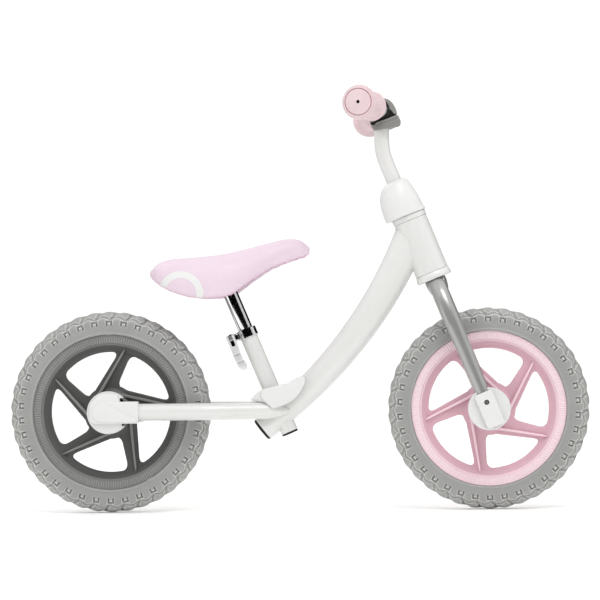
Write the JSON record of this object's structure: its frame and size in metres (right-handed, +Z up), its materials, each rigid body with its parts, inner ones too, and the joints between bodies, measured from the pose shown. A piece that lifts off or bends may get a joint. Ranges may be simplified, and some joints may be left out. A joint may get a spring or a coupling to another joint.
{
  "type": "balance bike",
  "caption": "Pedal-free child's balance bike with foam tyres, moulded spoked rims, curved tube frame, sliding saddle post with quick release, steering fork and padded saddle",
  "frame": {"origin": "on the ground, midway between the two axles, in the bike's mid-plane", "axes": "+X points forward, +Y points to the rider's left, +Z points up"},
  "size_m": [0.8636, 0.394, 0.6196],
  "materials": {
    "white_paint": "gloss white enamel",
    "white_plastic": "satin gloss white moulding",
    "black_plastic": "matt black moulding",
    "chrome": "polished plating",
    "steel": "zinc plated",
    "satin_grey": "satin grey enamel",
    "clamp_grey": "bead-blasted grey",
    "foam_tyre": "matt closed-cell foam skin",
    "front_rim": "satin pink moulding",
    "rear_rim": "satin charcoal moulding",
    "grip_rubber": "soft matt pink",
    "saddle_vinyl": "matt pale pink vinyl"
  },
  "bodies": {
    "frame": {"main_tube": "white_paint", "main_tube_plug": "black_plastic", "head_tube": "white_paint", "seat_tube": "white_paint", "seat_tube_plug": "black_plastic", "chain_stay_right": "white_paint", "chain_stay_left": "white_paint", "junction_cover": "white_plastic", "headset_cup_lower": "white_paint", "headset_cup_upper": "white_paint", "headset_bearing_lower": "steel", "headset_bearing_upper": "steel", "rear_axle": "steel", "rear_axle_nut_right": "steel", "rear_axle_nut_left": "steel", "rear_hub_cover_right": "white_plastic", "rear_hub_cover_left": "white_plastic", "seat_collar": "chrome", "qr_skewer": "steel", "qr_nut": "chrome"},
    "steering": {"fork_steerer": "satin_grey", "fork_leg_right": "satin_grey", "fork_leg_left": "satin_grey", "front_axle": "steel", "front_axle_nut_right": "steel", "front_axle_nut_left": "steel", "front_hub_cover_right": "white_plastic", "front_hub_cover_left": "white_plastic", "front_cover_screw_right": "steel", "front_cover_screw_left": "steel", "headset_cover": "white_plastic", "stem_tube": "white_paint", "clamp_lower": "clamp_grey", "clamp_cap": "clamp_grey", "clamp_bolt_front": "steel", "clamp_bolt_rear": "steel", "handlebar": "white_paint", "grip_right": "grip_rubber", "grip_left": "grip_rubber"},
    "front_wheel": {"front_tyre": "foam_tyre", "front_rim": "front_rim", "front_hub_bearing_right": "steel", "front_hub_bearing_left": "steel", "front_bearing_spacer": "steel"},
    "rear_wheel": {"rear_tyre": "foam_tyre", "rear_rim": "rear_rim", "rear_hub_bearing_right": "steel", "rear_hub_bearing_left": "steel", "rear_bearing_spacer": "steel"},
    "seat": {"seat_post": "chrome", "saddle_bracket": "steel", "saddle_base": "black_plastic", "saddle_pad": "saddle_vinyl", "saddle_screw_front": "steel", "saddle_screw_rear": "steel"},
    "quick_release": {"qr_lever": "chrome", "qr_pivot_pin": "steel"}
  },
  "joints": [
    {"name": "steering_turn", "type": "hinge", "parent": "frame", "child": "steering", "pos_m": [0.2818, 0, 0.15], "axis": [-0.3746, 0, 0.9272], "range_deg": [-45, 45]},
    {"name": "front_wheel_spin", "type": "hinge", "parent": "steering", "child": "front_wheel", "pos_m": [0.2818, 0, 0.15], "axis": [0, 1, 0], "continuous": true},
    {"name": "rear_wheel_spin", "type": "hinge", "parent": "frame", "child": "rear_wheel", "pos_m": [-0.2818, 0, 0.15], "axis": [0, 1, 0], "continuous": true},
    {"name": "seat_height", "type": "slide", "parent": "frame", "child": "seat", "axis": [-0.3843, 0, 0.9232], "range_m": [-0.02, 0.05]},
    {"name": "qr_open", "type": "hinge", "parent": "frame", "child": "quick_release", "pos_m": [-0.10015, -0.0148, 0.25678], "axis": [-0.9232, 0, -0.3843], "range_deg": [0, 120]}
  ]
}
